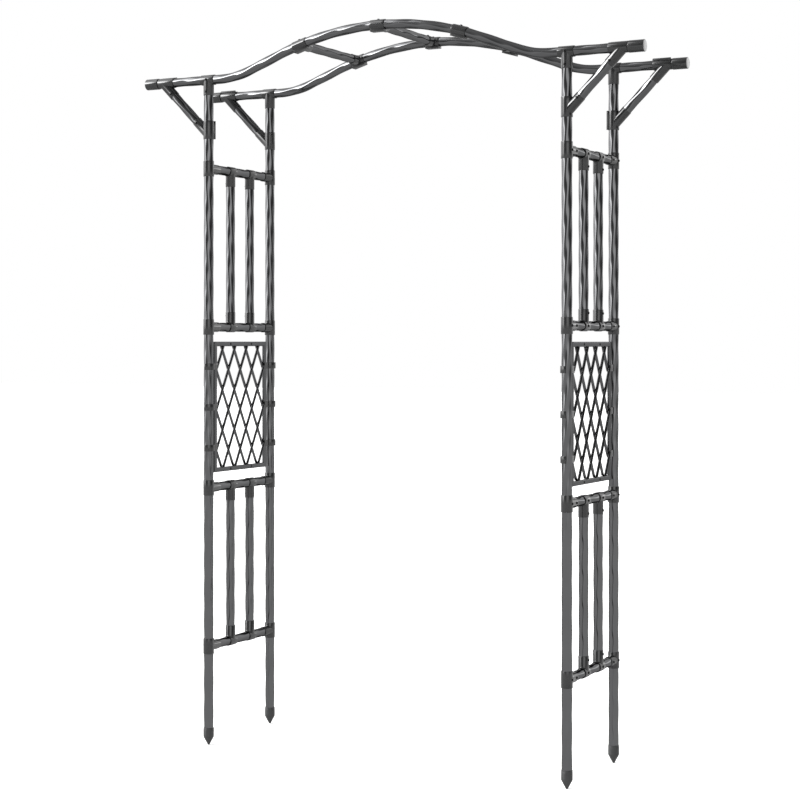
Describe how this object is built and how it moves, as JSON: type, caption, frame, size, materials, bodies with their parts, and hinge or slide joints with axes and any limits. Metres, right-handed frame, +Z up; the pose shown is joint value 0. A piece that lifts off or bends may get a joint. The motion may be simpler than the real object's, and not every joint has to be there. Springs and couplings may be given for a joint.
{
  "type": "metal trellis arch",
  "caption": "Free-standing garden arch of round metal tubes, with ladder and lattice side panels, humped top beams, corner braces, rungs and ground spikes.",
  "frame": {"origin": "middle of the footprint at the level of the spike tips", "axes": "+X across the walkway to the right, +Y from the front to the back, +Z up"},
  "size_m": [1.814, 0.4312, 2.4044],
  "materials": {
    "tube_metal": "graphite powder coat over round steel tube with shallow spiral fluting, glossy",
    "lattice_metal": "graphite powder coat on welded bars and rods, semi-gloss",
    "fitting_plastic": "moulded dark grey plastic, satin",
    "spike_plastic": "moulded dark grey plastic, matt with soil scuffs",
    "screw_metal": "black coated pan-head screws and rivets"
  },
  "bodies": {
    "root": {"ground_spike_front_left": "spike_plastic", "ground_spike_front_right": "spike_plastic", "ground_spike_back_left": "spike_plastic", "ground_spike_back_right": "spike_plastic", "post_lower_front_left": "tube_metal", "post_lower_front_right": "tube_metal", "post_lower_back_left": "tube_metal", "post_lower_back_right": "tube_metal", "post_middle_front_left": "tube_metal", "post_middle_front_right": "tube_metal", "post_middle_back_left": "tube_metal", "post_middle_back_right": "tube_metal", "post_upper_front_left": "tube_metal", "post_upper_front_right": "tube_metal", "post_upper_back_left": "tube_metal", "post_upper_back_right": "tube_metal", "rail_bottom_left": "tube_metal", "rail_bottom_right": "tube_metal", "rail_lower_left": "tube_metal", "rail_lower_right": "tube_metal", "rail_upper_left": "tube_metal", "rail_upper_right": "tube_metal", "rail_top_left": "tube_metal", "rail_top_right": "tube_metal", "upright_lower_front_left": "tube_metal", "upright_lower_front_right": "tube_metal", "upright_lower_back_left": "tube_metal", "upright_lower_back_right": "tube_metal", "upright_upper_front_left": "tube_metal", "upright_upper_front_right": "tube_metal", "upright_upper_back_left": "tube_metal", "upright_upper_back_right": "tube_metal", "lattice_frame_left": "lattice_metal", "lattice_frame_right": "lattice_metal", "lattice_rods_left": "lattice_metal", "lattice_rods_right": "lattice_metal", "lattice_clips_left": "fitting_plastic", "lattice_clips_right": "fitting_plastic", "lattice_rivets": "screw_metal", "post_tees_left": "fitting_plastic", "post_tees_right": "fitting_plastic", "upright_tees_left": "fitting_plastic", "upright_tees_right": "fitting_plastic", "beam_front_left": "tube_metal", "beam_front_right": "tube_metal", "beam_back_left": "tube_metal", "beam_back_right": "tube_metal", "beam_tees": "fitting_plastic", "beam_caps": "fitting_plastic", "brace_front_left": "tube_metal", "brace_front_right": "tube_metal", "brace_back_left": "tube_metal", "brace_back_right": "tube_metal", "brace_connectors": "fitting_plastic", "rung_left": "tube_metal", "rung_middle": "tube_metal", "rung_right": "tube_metal", "rung_tees": "fitting_plastic", "panel_screws": "screw_metal", "arch_screws": "screw_metal"}
  },
  "joints": []
}
